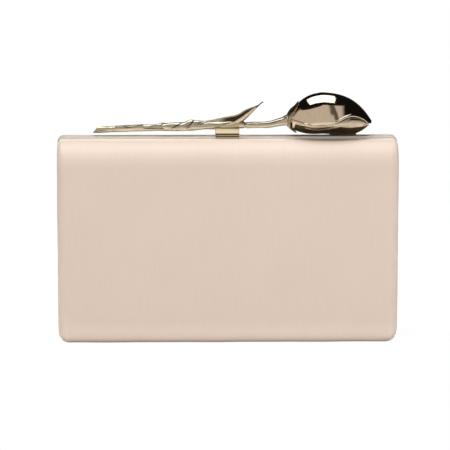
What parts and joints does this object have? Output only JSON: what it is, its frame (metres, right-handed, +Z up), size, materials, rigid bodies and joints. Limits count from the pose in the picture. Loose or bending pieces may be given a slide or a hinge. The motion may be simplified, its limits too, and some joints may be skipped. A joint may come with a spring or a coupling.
{
  "type": "minaudiere",
  "caption": "Hard box clutch of satin-covered half trays in thin metal frames, hinged along the base and shut by a sprung clasp shaped as a tulip lying along the top.",
  "frame": {"origin": "under the middle of the base, on the surface that the closed clutch stands on", "axes": "+X along the clutch towards the flower, -Y out of the front face, +Z up through the clasp"},
  "size_m": [0.1904, 0.052, 0.1413],
  "materials": {
    "satin": "blush satin, soft sheen",
    "wadding": "thin soft wadding",
    "shell": "moulded tray",
    "lining": "fine suede-like lining",
    "frame_metal": "pale gold plate, polished",
    "tulip_metal": "pale gold plate, mirror polished",
    "steel": "plain steel pins and wire",
    "bumper": "soft bumper"
  },
  "bodies": {
    "rear_half": {"rear_satin_cover": "satin", "rear_wadding": "wadding", "rear_shell": "shell", "rear_lining": "lining", "rear_frame": "frame_metal", "slip_pocket": "lining", "hinge_pin_left": "steel", "hinge_pin_right": "steel", "clasp_base": "frame_metal", "clasp_base_screws": "steel", "clasp_pivot_pin": "steel", "clasp_spring": "steel"},
    "front_half": {"front_satin_cover": "satin", "front_wadding": "wadding", "front_shell": "shell", "front_lining": "lining", "front_frame": "frame_metal"},
    "clasp": {"clasp_lever": "frame_metal", "tulip_stem": "tulip_metal", "tulip_leaf": "tulip_metal", "flower_base": "tulip_metal", "petal_upper": "tulip_metal", "petal_lower": "tulip_metal", "petal_rear": "tulip_metal", "flower_core": "tulip_metal", "flower_foot": "bumper"}
  },
  "joints": [
    {"name": "lid_hinge", "type": "hinge", "parent": "rear_half", "child": "front_half", "pos_m": [0, 0, 0.0016], "axis": [1, 0, 0], "range_deg": [0, 90]},
    {"name": "clasp_pivot", "type": "hinge", "parent": "rear_half", "child": "clasp", "pos_m": [0, 0.0042, 0.11835], "axis": [-1, 0, 0], "range_deg": [0, 30], "stiffness_Nm_per_rad": 0.03, "springref_deg": -28.65, "deforming": ["clasp_spring"]}
  ]
}
